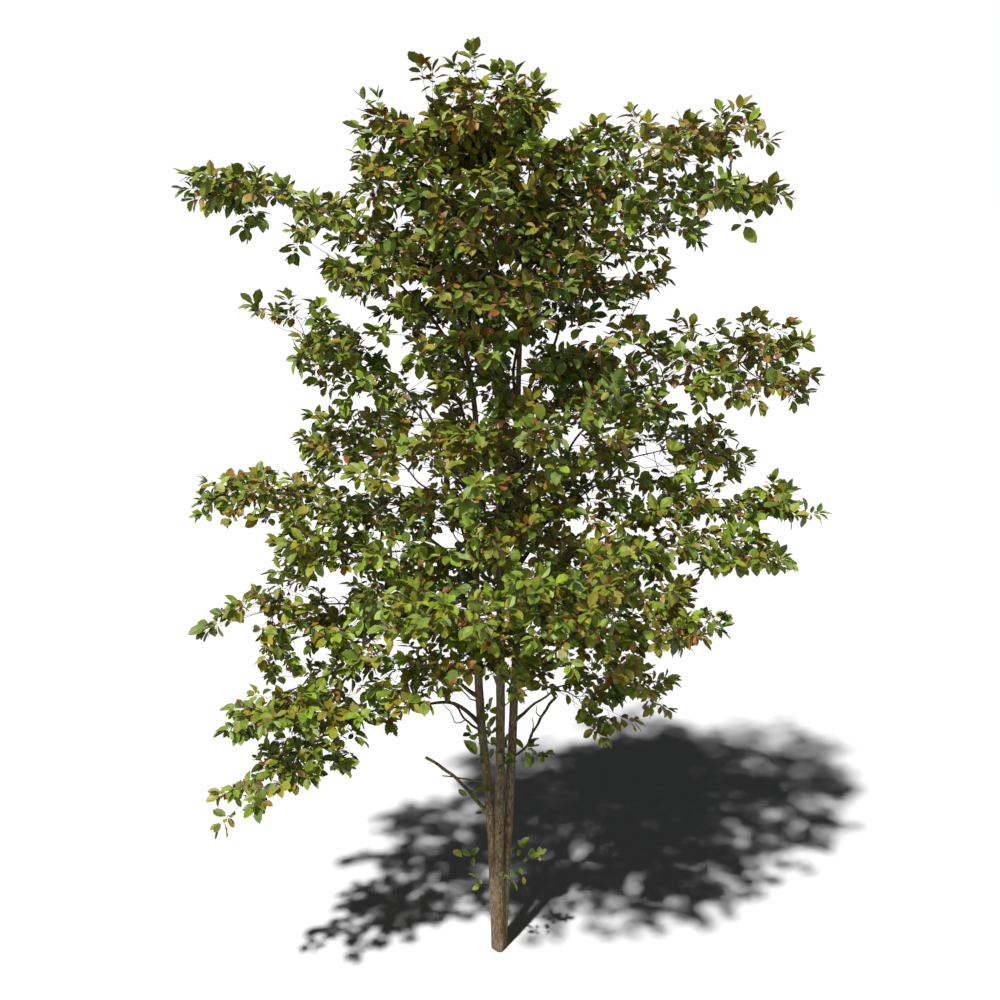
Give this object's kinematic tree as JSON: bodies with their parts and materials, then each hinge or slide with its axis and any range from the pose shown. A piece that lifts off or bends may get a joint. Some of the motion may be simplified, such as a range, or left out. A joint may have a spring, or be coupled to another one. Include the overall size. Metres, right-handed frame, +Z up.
{
  "type": "velvet bushwillow",
  "caption": "Slender savanna tree with several stems from one fused foot, long level boughs and open, layered sprays of pointed oval leaves turning from green to rust.",
  "frame": {"origin": "centre of the flat cut under the trunk, at ground level", "axes": "+Z straight up the tree; -Y towards the front, from which the picture was taken; +X to the right of that view"},
  "size_m": [3.6464, 2.7172, 5.5233],
  "materials": {
    "bark": "matte, warm grey-brown with upright fibrous streaks and knot holes",
    "limb_bark": "matte, darker brown, smooth with fine streaks",
    "foliage": "soft satin leaves, olive to yellow-green with orange, rust and brown inner sprays"
  },
  "bodies": {
    "root": {"trunk": "bark", "stem_left": "bark", "stem_centre": "bark", "stem_right": "bark", "bough_left_crown": "limb_bark", "bough_left_nape": "limb_bark", "bough_left_wand": "limb_bark", "bough_left_upper": "limb_bark", "bough_left_back": "limb_bark", "bough_left_long": "limb_bark", "bough_left_middle": "limb_bark", "bough_left_low": "limb_bark", "bough_left_droop_high": "limb_bark", "bough_left_droop": "limb_bark", "bough_right_crown": "limb_bark", "bough_right_wing": "limb_bark", "bough_right_upper": "limb_bark", "bough_right_back": "limb_bark", "bough_right_long": "limb_bark", "bough_right_middle": "limb_bark", "bough_right_low": "limb_bark", "bough_right_skirt": "limb_bark", "stub_left": "limb_bark", "foliage_left_crown": "foliage", "foliage_left_shoulder": "foliage", "foliage_left_nape": "foliage", "foliage_left_wand": "foliage", "foliage_left_upper": "foliage", "foliage_left_back": "foliage", "foliage_left_long": "foliage", "foliage_left_middle": "foliage", "foliage_left_low": "foliage", "foliage_left_droop_high": "foliage", "foliage_left_droop": "foliage", "foliage_left_front_low": "foliage", "foliage_right_crown": "foliage", "foliage_right_wing": "foliage", "foliage_right_nape": "foliage", "foliage_right_upper": "foliage", "foliage_right_back": "foliage", "foliage_right_long": "foliage", "foliage_right_middle": "foliage", "foliage_right_low": "foliage", "foliage_right_skirt": "foliage", "foliage_right_hang": "foliage", "foliage_top_leader": "foliage", "foliage_top_left": "foliage", "foliage_top_right": "foliage", "foliage_front_crown": "foliage", "foliage_front_upper": "foliage", "foliage_front_middle": "foliage", "foliage_front_left": "foliage", "foliage_front_right": "foliage", "foliage_back_crown": "foliage", "foliage_back_upper": "foliage", "foliage_back_middle": "foliage", "foliage_back_low": "foliage", "shoot_left": "foliage", "shoot_right": "foliage", "shoot_fork": "foliage"}
  },
  "joints": []
}
